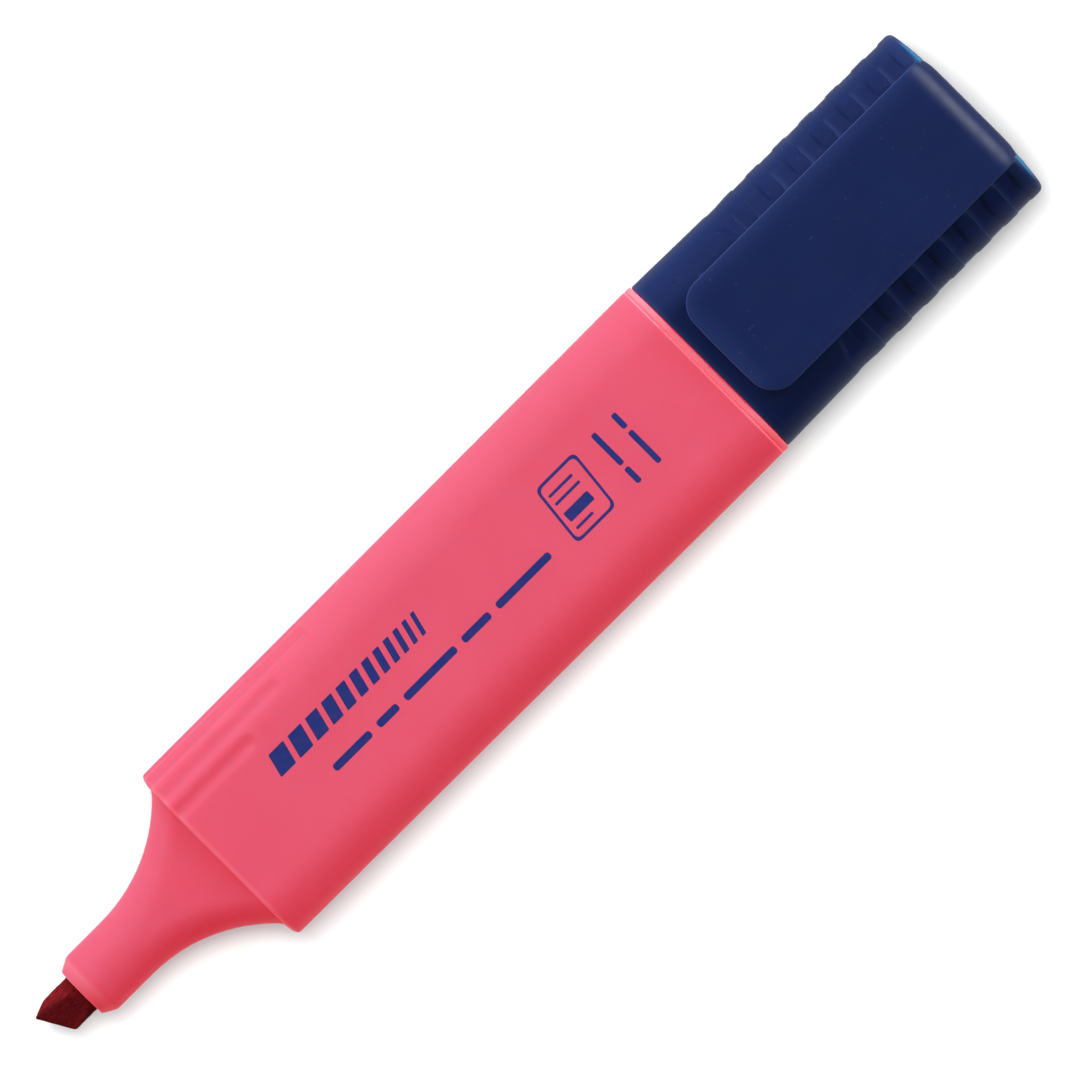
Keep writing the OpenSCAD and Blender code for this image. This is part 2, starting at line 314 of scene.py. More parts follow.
def navy_plastic():
    """Satin navy polypropylene with a fine grain and sparse specks, with painted highlights and painted light
    making its edges and narrow sides paler, and a painted light blue glow on the rim of its end.
    """
    f = Finish("navy_plastic", IOR=1.49, Specular_IOR_Level=0.45, Sheen_Weight=0.115, Sheen_Roughness=0.3,
               Sheen_Tint=(0.37, 0.45, 1.0, 1.0), Subsurface_Weight=0.1, Subsurface_Scale=0.8 * MM,
               Subsurface_Radius=(0.1, 0.3, 1.0))
    broad = f.spread(f.noise(11, 3), 0.35, 0.65)
    colour = f.mix(broad, rgb(0.0024, 0.0108, 0.074), rgb(0.0031, 0.0126, 0.081))
    # The pale blue of the edge mark is painted highlight and painted light on edges, narrow sides and recess
    # steps.
    colour = f.mix(f.mark("edge"), colour, rgb(0.040, 0.075, 0.240))
    # The light blue of the rim mark is a painted glow on the edge of the cap's end.
    colour = f.mix(f.mark("rim"), colour, rgb(0.004, 0.300, 0.700))
    dots = f.spread(f.noise(0.42, 0), 0.80, 0.86)
    colour = f.mix(f.multiply(dots, 0.3), colour, rgb(0.07, 0.09, 0.20))
    fine = f.noise(0.2, 3)
    scuffs = f.noise(1.8, 4, (4, 1, 1), 0.65)
    under = f.bump(dots, 0.012, 0.5, f.bump(f.noise(7, 1), 0.05, 0.4))
    return f.set(Base_Color=colour, Roughness=f.spread(scuffs, 0.3, 0.72, 0.38, 0.47),
                 Normal=f.bump(fine, 0.008, 0.6, under))


def nib_fibre():
    """Bonded fibre full of dark ink: fine threads along the nib, paler on its round sides, partly drier fibre
    and partly painted light, and darker by the collar, partly wet ink and partly painted shade.
    """
    f = Finish("nib_fibre", IOR=1.4, Specular_IOR_Level=0.1)
    threads = f.noise(0.16, 4, (7, 1, 1), 0.7)
    pores = f.noise(0.22, 2)
    raised = f.spread(threads, 0.3, 0.7)
    wet = f.mix(raised, rgb(0.085, 0.0036, 0.0055), rgb(0.210, 0.0120, 0.0160))
    # The paler colour is partly drier fibre and partly painted light on the nib's round sides.
    dry = f.mix(raised, rgb(0.13, 0.007, 0.010), rgb(0.30, 0.016, 0.022))
    colour = f.mix(f.mark("dry"), wet, dry)
    colour = f.mix(f.spread(pores, 0.5, 0.75, 0.0, 0.5), colour, rgb(0.030, 0.0012, 0.0025))
    under = f.bump(pores, 0.03, 0.5)
    return f.set(Base_Color=colour, Roughness=f.spread(threads, 0.3, 0.7, 0.62, 0.9),
                 Normal=f.bump(threads, 0.05, 0.7, under))


def print_ink():
    """Pad-printed navy ink: even, with pinholes and a slightly thin coat in places."""
    f = Finish("print_ink", IOR=1.5)
    thin = f.spread(f.noise(0.9, 3), 0.45, 0.75, 0.0, 0.35)
    colour = f.mix(thin, rgb(0.013, 0.028, 0.185), rgb(0.060, 0.032, 0.165))
    pinholes = f.spread(f.noise(0.12, 1), 0.72, 0.78)
    colour = f.mix(f.multiply(pinholes, 0.5), colour, rgb(0.45, 0.06, 0.13))
    return f.set(Base_Color=colour, Roughness=f.spread(thin, 0.0, 0.35, 0.42, 0.55),
                 Normal=f.bump(f.noise(0.2, 2), 0.004, 0.5))


def core_fibre():
    """The core: pale bonded fibre, soaked with ink in cloudy patches."""
    f = Finish("core_fibre", Sheen_Weight=0.3, Sheen_Roughness=0.6)
    threads = f.noise(0.25, 4, (12, 1, 1), 0.7)
    soaked = f.spread(f.noise(6, 4, (3, 1, 1)), 0.35, 0.65)
    colour = f.mix(soaked, rgb(0.72, 0.26, 0.30), rgb(0.60, 0.09, 0.13))
    colour = f.mix(f.spread(threads, 0.4, 0.8, 0.0, 0.5), colour, rgb(0.80, 0.42, 0.44))
    return f.set(Base_Color=colour, Roughness=f.spread(threads, 0.3, 0.7, 0.75, 0.95),
                 Normal=f.bump(threads, 0.08, 0.8))


def core_film():
    """The thin clear film round the core, with the slight ripples of a heat-sealed sleeve."""
    f = Finish("core_film", IOR=1.5, Transmission_Weight=0.85)
    ripples = f.noise(1.5, 3, (6, 1, 1))
    colour = f.mix(f.spread(ripples, 0.3, 0.7), rgb(0.86, 0.90, 0.92), rgb(0.93, 0.95, 0.96))
    return f.set(Base_Color=colour, Roughness=f.spread(ripples, 0.3, 0.7, 0.12, 0.3),
                 Normal=f.bump(ripples, 0.05, 0.5))


def pale_floor():
    """Matt pale board."""
    f = Finish("pale_floor", Specular_IOR_Level=0.0)
    colour = f.mix(f.noise(60, 3), rgb(0.32, 0.32, 0.32), rgb(0.34, 0.34, 0.34))
    return f.set(Base_Color=colour, Roughness=f.spread(f.noise(20, 2), 0.3, 0.7, 0.85, 0.95))


CORAL = coral_plastic()
NAVY = navy_plastic()
FIBRE = nib_fibre()
INK = print_ink()


def finish_piece(obj, body, node):
    """The piece stands for a CAD node, which it hides, and moves with its body."""
    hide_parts(node)
    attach(obj, body)
    return obj


# ---------------------------------------------------------------- barrel

LIP_DEPTH = 0.7
LIP_SIDE = 1.35
LIP_FLAT = 0.45
GROOVE = 0.16
FLUTE_STEPS = 4
FLUTE_SHORTEST = 13.6
FLUTE_GROWTH = 6.7
FLUTE_HALF_W = 1.25
FLUTE_DEPTH = 0.36
flute_step = (math.pi * SIDE_R / 2 + BODY_HALF_T - SIDE_R) / FLUTE_STEPS
flutes_end = X_SEAM + FLUTE_SHORTEST + FLUTE_STEPS * FLUTE_GROWTH


def flute_depth(x, around):
    """Depth of the grip flutes at station x, for points that lie `around` from the middle of the +Y side."""
    depth = np.zeros(len(around))
    for k in range(FLUTE_STEPS + 1):
        length = FLUTE_SHORTEST + (FLUTE_STEPS - k) * FLUTE_GROWTH
        past = max(x - (X_SEAM + length - FLUTE_HALF_W), 0)
        away = np.hypot(around - k * flute_step, past) / FLUTE_HALF_W
        depth = np.maximum(depth, FLUTE_DEPTH * np.maximum(1 - away ** 2, 0) ** 1.6)
    return depth


def barrel_ring(x, lip, groove, count):
    """The barrel's outside at station x, drawn in by a share of the front lip or by part of the groove."""
    share = (x - X_SEAM) / (X_REAR - X_SEAM)
    half_w = FRONT_HALF_W + (REAR_HALF_W - FRONT_HALF_W) * share
    points, normals, around = section(half_w, BODY_HALF_T, SIDE_R, count)
    inset = lip * (LIP_FLAT + (LIP_SIDE - LIP_FLAT) * np.abs(normals[:, 0]) ** 2) + groove
    points = points - normals * (inset + flute_depth(x, around))[:, None]
    return np.column_stack([np.full(count, x), points[:, 0], points[:, 1] + AXIS_Z])


def barrel():
    """The barrel's outside from its rounded front lip to the groove before the rim, and the bore inside."""
    count = 256
    rings = []
    for angle in np.linspace(0, math.pi / 2, 9):
        rings.append(barrel_ring(X_SEAM + LIP_DEPTH * (1 - math.cos(angle)), 1 - math.sin(angle), 0, count))
    for x in np.arange(X_SEAM + LIP_DEPTH + 0.3, flutes_end + 1, 0.33):
        rings.append(barrel_ring(x, 0, 0, count))
    for x in np.linspace(flutes_end + 2, X_REAR - 1, 14):
        rings.append(barrel_ring(x, 0, 0, count))
    for back, inset in ((2.2, 0), (1, 0), (0.75, 0.08), (0.4, 0.3), (0, 1)):
        rings.append(barrel_ring(X_REAR - back * GROOVE, 0, inset * GROOVE, count))
    outside = len(rings)
    for x, spread in ((X_REAR, 0.2), (X_REAR - 0.2, 0), (X_SEAM + 0.2, 0), (X_SEAM, 0.2)):
        rings.append(ring(x, BORE_HALF_W + spread, BORE_HALF_T + spread, BORE_R + spread, count))
    points, faces = skin(rings, loop=True)
    x = points[:, 0]
    # The edge mark here is painted highlight: a pale line at the groove before the rim and a fainter one
    # along the front lip.
    seam = np.clip(1 - np.abs(x - (X_REAR - 0.1)) / 0.25, 0, 1)
    front = np.clip(1 - np.abs(x - X_SEAM - 0.2) / 0.45, 0, 1)
    edge = np.where(np.arange(len(x)) < outside * count, np.maximum(0.9 * seam, 0.45 * front), 0)
    obj = make_piece("barrel_shell", points, faces, CORAL, edge=edge)
    return finish_piece(obj, "pen", "barrel")


# ---------------------------------------------------------------- nose section

NECK_R = 4.43
COLLAR_R = 3.5
COLLAR_LEN = 1.7
NECK_LEN = 5.9
FLARE_HALF_W = 11.4
FLARE_HALF_T = 5.9
NOSE_PLUG_LEN = 8
THROAT = (5.2, 4.2)
THROAT_DEPTH = 6
NIB_R = 2.675
NIB_HALF_T = 2.1
NIB_GAP = 0.12
FILM_GAP = 0.1
SLEEVE_HALF_W = film_high[1] + FILM_GAP
SLEEVE_HALF_T = (film_high[2] - film_low[2]) / 2 + FILM_GAP
NECK = (NECK_R, NECK_R, NECK_R - 0.04)
x_neck_end = X_COLLAR + COLLAR_LEN + NECK_LEN


def arc_rise(x, rise, run):
    """Height at x of the arc that leaves flat at 0 and has risen by `rise` at `run`."""
    r = (run ** 2 + rise ** 2) / (2 * rise)
    return r - math.sqrt(r ** 2 - x ** 2)


def nose():
    """The collar and neck, the flare up to the seam, the plug inside the barrel and the bore for the nib."""
    count = 192
    run = X_SEAM - x_neck_end
    mouth = round_ended(NIB_R + NIB_GAP, NIB_HALF_T + NIB_GAP)
    sleeve = round_ended(SLEEVE_HALF_W, SLEEVE_HALF_T)
    throat = round_ended(*THROAT)
    tip = soften([(X_COLLAR + 3, *mouth), (X_COLLAR, *mouth), (X_COLLAR, *round_ended(COLLAR_R, COLLAR_R)),
                  (X_COLLAR + COLLAR_LEN, *NECK), (X_COLLAR + COLLAR_LEN + 2.4, *NECK)],
                 (0.12, 0.22, 0.45), 6)
    rows = list(tip[1:])
    for x in np.linspace(0, run, 36)[:-1]:
        rows.append((x_neck_end + x, NECK_R + arc_rise(x, FLARE_HALF_W - NECK_R, run),
                     NECK_R + arc_rise(x, FLARE_HALF_T - NECK_R, run), NECK[2]))
    rows += list(soften([(X_SEAM - 0.16, FLARE_HALF_W - 0.07, FLARE_HALF_T - 0.03, NECK[2]),
                         (X_SEAM - 0.02, FLARE_HALF_W, FLARE_HALF_T, NECK_R), (X_SEAM - 0.01, *PLUG_SECTION),
                         (X_SEAM + NOSE_PLUG_LEN - 0.6, *PLUG_SECTION),
                         (X_SEAM + NOSE_PLUG_LEN, *inside(PLUG_SECTION, 0.4))], (0.08, 0.0, 0.2), 3))
    rows += [(X_SEAM + NOSE_PLUG_LEN, *sleeve), (core_low[0], *sleeve), (core_low[0], *throat),
             (X_SEAM - THROAT_DEPTH, *throat), (X_SEAM - THROAT_DEPTH, *mouth)]
    points, faces = skin([ring(*row, count) for row in rows], loop=True)
    x, off_axis = points[:, 0], np.hypot(points[:, 1], points[:, 2] - AXIS_Z)
    # The edge mark here is painted highlight: a pale ring where the collar's chamfer meets the neck, and on
    # the collar's end face.
    shoulder = np.clip(1 - np.abs(x - X_COLLAR - COLLAR_LEN + 0.35) / 0.6, 0, 1)
    face = np.clip(1 - np.abs(x - X_COLLAR) / 0.2, 0, 1) * (off_axis > COLLAR_R - 0.6)
    edge = np.where(off_axis > NIB_R + 0.3, np.maximum(0.35 * shoulder, 0.5 * face), 0)
    obj = make_piece("nose_moulding", points, faces, CORAL, edge=edge)
    return finish_piece(obj, "pen", "nose_section")


# ---------------------------------------------------------------- nib

NIB_POINT_Y = 1.78
NIB_EDGE_HALF_T = 0.55
NIB_SLANT = math.radians(30)
NIB_BEVEL = math.radians(22)
NIB_WEDGE = math.radians(22)
NIB_SHOULDER = math.radians(48)
NIB_BORDER_START = np.array([0.33, 0.05, 0])
NIB_BORDER = np.array([3.6, -0.65, 0])
NIB_HEART = 5.0
NIB_CRISPNESS = 34
NIB_STEP = 0.08
# Length of the darker zone by the collar, partly wet ink and partly painted shade, and how far it fades.
NIB_WET_SHADE_LEN = 0.4
NIB_WET_SHADE_FADE = 1.6
THREAD_SMOOTH_LEN = 2.0
THREAD_DEPTH_FRONT = 0.012
THREAD_DEPTH_MORE = 0.035


def nib_planes():
    """What bounds the nib besides its round sides, each as an outward normal and a point."""
    point = np.array([X_TIP, NIB_POINT_Y, 0])
    ahead = np.array([-math.cos(NIB_SLANT), -math.sin(NIB_SLANT), 0])
    up = np.array([0, 0, 1])
    planes = [(ahead, point), (np.array([-math.sin(NIB_BEVEL), math.cos(NIB_BEVEL), 0]), point)]
    for level in (-1, 1):
        wedge = ahead * math.sin(NIB_WEDGE) + level * up * math.cos(NIB_WEDGE)
        planes += [(wedge, point + level * up * NIB_EDGE_HALF_T), (level * up, level * up * NIB_HALF_T)]
        # The ground shoulder starts beside the point, and its border runs back along the slanted face.
        along = NIB_BORDER - up * (NIB_BORDER @ wedge) / wedge[2]
        border = point + NIB_BORDER_START
        border = border + up * ((point + level * up * NIB_EDGE_HALF_T - border) @ wedge) / wedge[2]
        turned = np.cross(along / np.linalg.norm(along), wedge)
        planes.append((wedge * math.cos(NIB_SHOULDER) - level * turned * math.sin(NIB_SHOULDER), border))
    return planes


def nib_ring(x, directions):
    """Where the directions from the middle of the nib at station x meet its skin, with soft edges."""
    heart = np.array([x, 0, 0])
    nearness = [np.hypot(directions[:, 1], directions[:, 2]) / NIB_R]
    for normal, point in nib_planes():
        nearness.append(np.maximum(directions @ normal, 0) / (normal @ (point - heart)))
    reach = 1 / np.linalg.norm(nearness, ord=NIB_CRISPNESS, axis=0)
    return heart + directions * reach[:, None]


def roughen(points, normals):
    """Raises fine threads along the nib, more of them back from the cut point."""
    for i, (x, y, z) in enumerate(points):
        back = min(max((x - X_TIP - THREAD_SMOOTH_LEN) / 3, 0), 1)
        thread = noise.noise(Vector((x * 0.9, y * 5, z * 5)))
        thread += 0.6 * noise.noise(Vector((x * 3, y * 9, z * 9)))
        points[i] -= normals[i] * (0.01 + (THREAD_DEPTH_FRONT + THREAD_DEPTH_MORE * back) * (thread + 0.4))
    return points


def nib():
    """Rings round the nib, fanned out over the point and even from there back to the core."""
    count = 256
    turns = np.arange(count) * 2 * math.pi / count
    round_it = np.column_stack([np.zeros(count), np.cos(turns), np.sin(turns)])
    forward = np.array([-1, 0, 0])
    rings = [nib_ring(X_TIP + NIB_HEART, forward * math.cos(a) + round_it * math.sin(a))
             for a in np.linspace(0.01, math.pi / 2, 110)]
    rings += [nib_ring(x, round_it)
              for x in np.arange(X_TIP + NIB_HEART + NIB_STEP, X_COLLAR + 1.2, NIB_STEP)]
    rings += [nib_ring(x, round_it) for x in np.linspace(X_COLLAR + 2, core_low[0], 6)]
    points, faces = skin(rings, start=True, stop=True)
    points[:, 2] += AXIS_Z
    shape = bpy.data.meshes.new("nib_shape")
    shape.from_pydata(points.tolist(), [], faces)
    normals = np.zeros(len(points) * 3, np.float32)
    shape.vertex_normals.foreach_get("vector", normals)
    bpy.data.meshes.remove(shape)
    off_axis = np.hypot(points[:, 1], points[:, 2] - AXIS_Z) / NIB_R
    # Paler round sides, partly drier fibre and partly painted light; the mark fades out by the collar, where
    # the darker colour is partly wet ink and partly painted shade.
    dry = smooth((off_axis - 0.76) / 0.12) * smooth((X_COLLAR - NIB_WET_SHADE_LEN - points[:, 0]) / NIB_WET_SHADE_FADE)
    obj = make_piece("nib_tip", roughen(points, normals.reshape(-1, 3)), faces, FIBRE, 75, dry=dry)
    return finish_piece(obj, "pen", "nib")


# ---------------------------------------------------------------- rear plug

RIM_T = 0.85
POST_GAP = 0.2
SPIGOT_HALF_W = CAP_MOUTH_HALF_W - CAP_WALL - POST_GAP
SPIGOT_HALF_T = CAP_HALF_T - CAP_WALL - POST_GAP
SPIGOT_R = SIDE_R - CAP_WALL - POST_GAP
POST_RIB_Y = (CAP_MOUTH_HALF_W - CAP_WALL) / 2
POST_RIB_HALF_W = 0.55
x_rim = X_REAR + RIM_T


def plug():
    """The rim behind the barrel, its skirt inside, and the closed spigot that carries the posted cap."""
    count = 320
    sleeve = round_ended(SLEEVE_HALF_W, SLEEVE_HALF_T)
    well = inside(sleeve, 1.5)
    rim = (REAR_HALF_W, BODY_HALF_T, SIDE_R)
    spigot = (SPIGOT_HALF_W, SPIGOT_HALF_T, SPIGOT_R)
    rows = [(X_SPIGOT - WALL, *well), (core_high[0], *well), (core_high[0], *sleeve), (plug_low[0], *sleeve),
            (plug_low[0], *inside(PLUG_SECTION, 0.3)), (plug_low[0] + 0.4, *PLUG_SECTION),
            (X_REAR, *PLUG_SECTION),
            (X_REAR, *inside(rim, GROOVE)), (X_REAR + 0.4 * GROOVE, *inside(rim, 0.3 * GROOVE)),
            (X_REAR + GROOVE, *rim)]
    rows += list(soften([(x_rim - 0.5, *rim), (x_rim, *rim), (x_rim, *inside(rim, 0.6))], (0.42,), 7))
    rows += list(soften([(x_rim, *inside(rim, 1.2)), (x_rim, *spigot), (X_SPIGOT - 0.9, *spigot),
                         (X_SPIGOT - 0.2, *inside(spigot, 0.35)), (X_SPIGOT, *inside(spigot, 0.7)),
                         (X_SPIGOT, *inside(spigot, 2.5))], (0.25, 0.2, 0.15, 0.1), 4))
    rings = [ring(*row, count) for row in rows]
    for line in rings:
        near = smooth((POST_RIB_HALF_W - np.abs(np.abs(line[:, 1]) - POST_RIB_Y)) / 0.25)
        on_spigot = smooth((line[:, 0] - x_rim - 0.2) / 0.3) * smooth((X_SPIGOT - 1.2 - line[:, 0]) / 0.6)
        on_flat = np.abs(np.abs(line[:, 2] - AXIS_Z) - SPIGOT_HALF_T) < 0.01
        line[:, 2] += np.sign(line[:, 2] - AXIS_Z) * near * on_spigot * on_flat * POST_GAP / 2
    points, faces = skin(rings, start=True, stop=True)
    x, out = points[:, 0], np.abs(points[:, 1]) + np.abs(points[:, 2] - AXIS_Z)
    outside = out > BODY_HALF_T
    # The edge mark here is painted highlight: a pale line at the seam and a paler rim band behind the barrel.
    seam = np.clip(1 - np.abs(x - (X_REAR + 0.04)) / 0.22, 0, 1) * outside
    band = smooth((x - X_REAR) / 0.3) * smooth((x_rim + 0.05 - x) / 0.1) * outside
    obj = make_piece("rear_plug_moulding", points, faces, CORAL, edge=np.maximum(0.55 * seam, 0.62 * band))
    return finish_piece(obj, "pen", "rear_plug")


# ---------------------------------------------------------------- cap

DOME_RISE = 0.6
END_WALL = 1.8
RIB_COUNT = 7
RIB_PITCH = 4.5
RECESS_W = 2.37
RECESS_DEPTH = 0.12
RECESS_STEP = 0.14
RECESS_RAMP = 0.36
RECESS_SLANT = 0.34
FIRST_STEP = 0.9
FIRST_RAMP = 2.2
FACET_END = math.radians(46.5)
FACET_MID = math.radians(31)
FACET_DROP = (SIDE_R - RECESS_DEPTH) * math.cos(FACET_END - FACET_MID)
END_BAND = 2.6
# Strength of the painted light blue glow on the cap's end.
PAINTED_RIM_GLOW = 0.85
recess_starts = X_END - END_BAND - RECESS_W - np.arange(RIB_COUNT - 1, -1, -1) * RIB_PITCH


def cap_half_w(x):
    """The cap narrows a little over its first quarter."""
    share = np.clip((x - X_MOUTH) / (X_END - X_MOUTH) * 4, 0, 1)
    return CAP_MOUTH_HALF_W + (CAP_END_HALF_W - CAP_MOUTH_HALF_W) * share


def recess_at(x, y, lean):
    """Depth of the recesses between the grip ribs: flat facets on the shoulders, shallow on the sides.

    lean is how far the surface tips away from the flats, in radians. The first recess slants and fades in.
    """
    across = SIDE_R - FACET_DROP / np.cos(np.minimum(lean, FACET_END) - FACET_MID)
    depth = np.where(lean < FACET_END, np.maximum(across, RECESS_DEPTH), RECESS_DEPTH)
    depth = depth * smooth((np.abs(y) - 6.4) / 0.6)
    reach = 0
    for i, start in enumerate(recess_starts):
        step, ramp = RECESS_STEP, RECESS_RAMP
        if i == 0:
            start = start + RECESS_SLANT * np.maximum(11.5 - np.abs(y), 0)
            step, ramp = FIRST_STEP, FIRST_RAMP
        into = smooth((x - start) / step + 0.5)
        out = smooth((start + RECESS_W - x) / ramp + 0.5)
        reach = np.maximum(reach, into * out)
    return reach * depth


def cap_ring(x, inset, count):
    """The cap's outside at station x, drawn in by inset or, where there is none, by the recesses."""
    points, normals, _ = section(cap_half_w(x), CAP_HALF_T, SIDE_R, count)
    lean = np.arctan2(np.abs(normals[:, 0]), np.abs(normals[:, 1]))
    draw_in = inset + recess_at(x, points[:, 0], lean) * (inset == 0)
    points = points - normals * np.reshape(draw_in, (-1, 1))
    return np.column_stack([np.full(count, x), points[:, 0], points[:, 1] + AXIS_Z])


def cap_stations():
    """Where rings stand along the cap: sparse on the plain part, close at each wall of a recess."""
    first = recess_starts[0]
    stations = [np.arange(X_MOUTH + 1.2, first - 1.2, 0.9), first + np.arange(-1.0, 5.2, 0.11)]
    for start in recess_starts:
        for wall, run in ((start, RECESS_STEP), (start + RECESS_W, RECESS_RAMP)):
            stations.append(wall + run * np.array([-0.55, -0.3, 0, 0.3, 0.55]))
        stations.append([start + RECESS_W / 3, start + RECESS_W * 2 / 3, start + (RECESS_W + RIB_PITCH) / 2])
    return np.unique(np.round(np.concatenate(stations), 3))


def cap_marks(x, y, z):
    """Painted light on the cap, as pale marks: a highlight line at the mouth's edge, paler towards the end,
    painted light on the narrow sides, glints along each recess step, and a light blue painted glow on the
    upper edge of the end.
    """
    # Paler over the last 4 mm towards the end, and a painted highlight line at the mouth's edge.
    near_end = smooth((x - X_END + 4) / 4)
    mouth = np.clip(1 - (x - X_MOUTH) / 0.35, 0, 1)
    # Paler narrow sides: painted light.
    painted_side_light = smooth((np.abs(y) - 10.2) / 2.6)
    from_start = (x - recess_starts[0]) % RIB_PITCH
    # Pale lines along each recess step on the shoulders: painted glints.
    painted_wall_glints = np.maximum(smooth(1 - np.abs(from_start - 0.02) / 0.11),
                       0.4 * smooth(1 - np.abs(from_start - RECESS_W) / 0.12))
    on_shoulder = (smooth((11.9 - np.abs(y)) / 1.2) * (np.abs(y) > 7)
                   * (x > recess_starts[0] + 1.5) * (x < X_END - END_BAND + 1))
    edge = np.maximum(np.maximum(0.25 * near_end, 0.5 * mouth) + 0.2 * painted_side_light, 0.6 * painted_wall_glints * on_shoulder)
    # A light blue band on the upper edge of the end: a painted glow.
    rim = (smooth((x - X_END + 0.95) / 0.5) * smooth((12.6 - np.abs(y)) / 1.5)
           * smooth((z - AXIS_Z - 4.7) / 1.1))
    return edge, PAINTED_RIM_GLOW * rim


def cap_body():
    """The cap's cavity, its mouth, its ribbed outside and its slightly domed end."""
    count = 336
    cavity = (CAP_MOUTH_HALF_W - CAP_WALL, CAP_HALF_T - CAP_WALL, SIDE_R - CAP_WALL)
    inner = soften([(X_END - END_WALL, *inside(cavity, 0.8)), (X_END - END_WALL, *cavity),
                    (X_MOUTH + 2, *cavity), (X_MOUTH + 0.05, *inside(cavity, -0.12))], (0.6, 0.5), 4)
    rings = [ring(*row, count) for row in inner]
    lip = [(X_MOUTH + 0.3, CAP_WALL - 0.12), (X_MOUTH, CAP_WALL - 0.14), (X_MOUTH, 0.0), (X_MOUTH + 0.8, 0.0)]
    for x, inset in soften(lip, (0.25, 0.22), 5):
        rings.append(cap_ring(x, max(inset, 1e-6), count))
    rings += [cap_ring(x, 0, count) for x in cap_stations()]
    dome = [(X_END - 2.2, 0), (X_END - DOME_RISE + 0.02, 0), (X_END - 0.12, 3.4), (X_END, 6.0)]
    for x, inset in soften(dome, (1.05, 2.0), 9)[1:]:
        rings.append(cap_ring(x, max(inset, 1e-6), count))
    points, faces = skin(rings, start=True, stop=True)
    outer = np.arange(len(points)) >= len(inner) * count
    edge, rim = cap_marks(*points.T)
    obj = make_piece("cap_body", points, faces, NAVY, edge=edge * outer, rim=rim * outer)
    return finish_piece(obj, "cap", "cap_shell")


THIMBLE_WALL = 0.9
THIMBLE_BORE_LEN = 17
THIMBLE_RECESS_R = 3.9


def thimble():
    """The sealing thimble inside the cap, with a rounded mouth and a dished floor."""
    count = 96
    outer_r = (thimble_high[1] - thimble_low[1]) / 2
    bore_r = outer_r - THIMBLE_WALL
    front, back = thimble_low[0], thimble_high[0]
    floor = front + THIMBLE_BORE_LEN
    rows = list(soften([(floor, 0.4), (floor, bore_r), (front + 2, bore_r), (front, bore_r + 0.5),
                        (front, outer_r), (front + 1.2, outer_r), (back - 0.01, outer_r),
                        (back, outer_r - 0.2), (back, 4.0)], (0.5, 0.8, 0.12, 0.2, 0.2, 0.1, 0.1), 5))
    rows += list(soften([(back, THIMBLE_RECESS_R), (floor + 1.3, THIMBLE_RECESS_R), (floor + 1.3, 0.6)],
                        (0.3,), 4))
    rings = [ring(x, r, r, r - 1e-4, count) for x, r in rows]
    points, faces = skin(rings, start=True, stop=True)
    obj = make_piece("seal_thimble", points, faces, NAVY)
    return finish_piece(obj, "cap", "inner_cap")


# ---------------------------------------------------------------- clip

CLIP_HALF_W = clip_high[1]
CLIP_TOP = clip_high[2]
CLIP_T = 1.9
CLIP_CORNER = 3.4
CLIP_BULGE = 0.24
EDGE_R = 0.17
BEVEL_DROP = 0.27
BEVEL_W = 3.1
BEND_R = 3.4
LEG_LEN = 2.4
LEG_STEP = 0.4
LEDGE = 0.08
WEB_R = 1.3
WEB_BACK = 1.4
ROOT_LEN = 2.5
UNDER_EDGE_R = 0.2
BEAD_R = 0.8
BEAD_X = clip_low[0] + 3.9
x_free = clip_low[0] + CLIP_BULGE
bend_x = clip_high[0] - BEND_R
bend_z = CLIP_TOP - BEND_R
straight = bend_x - x_free
bend = BEND_R * math.pi / 2
TOP_LANES = (0, 0.02, 0.055, 0.105, EDGE_R, 0.24, 0.36, 0.52, 0.75, 1.05, 1.4, 1.8, 2.3, BEVEL_W)
UNDER_LANES = (0, 0.03, 0.1, 0.2, 0.5, 1.2, 1.6, 1.8, 2.1, 3.1)


def clip_lane(inset):
    """The clip's plan, drawn in: how far each point lies from the free end and from the middle line.

    The third value is how many points run along each straight side, up to the corner's first.
    """
    side_s = np.concatenate([
        [straight + bend + LEG_LEN, straight + bend + LEG_LEN / 2],
        straight + bend * np.linspace(1, 0, 29),
        np.arange(straight - 0.4, straight - 4.4, -0.4),
        np.linspace(straight - 5, 6.5, 20),
        np.arange(5.4, CLIP_CORNER, -0.16)])
    across = CLIP_HALF_W - inset - LEG_STEP * smooth((side_s - straight - 0.52 * bend) / 0.5)
    turn = np.linspace(0, math.pi / 2, 13)
    corner_s = CLIP_CORNER - (CLIP_CORNER - inset) * np.sin(turn)
    corner_t = CLIP_HALF_W - CLIP_CORNER + (CLIP_CORNER - inset) * np.cos(turn)
    end_t = np.linspace(CLIP_HALF_W - CLIP_CORNER, 0, 7)[1:]
    s = np.concatenate([side_s, corner_s, np.full(6, inset)])
    t = np.concatenate([across, corner_t, end_t])
    return np.concatenate([s, s[-2::-1]]), np.concatenate([-t, t[-2::-1]]), len(side_s) + 1


def outer_path(s):
    """Station, height and outward normal of the clip's outside, s along it from the free end."""
    angle = np.clip((s - straight) / BEND_R, 0, math.pi / 2)
    down = np.maximum(s - straight - bend, 0)
    x = np.minimum(x_free + s, bend_x) + BEND_R * np.sin(angle)
    z = bend_z + BEND_R * np.cos(angle) - down
    return x, z, np.sin(angle), np.cos(angle)


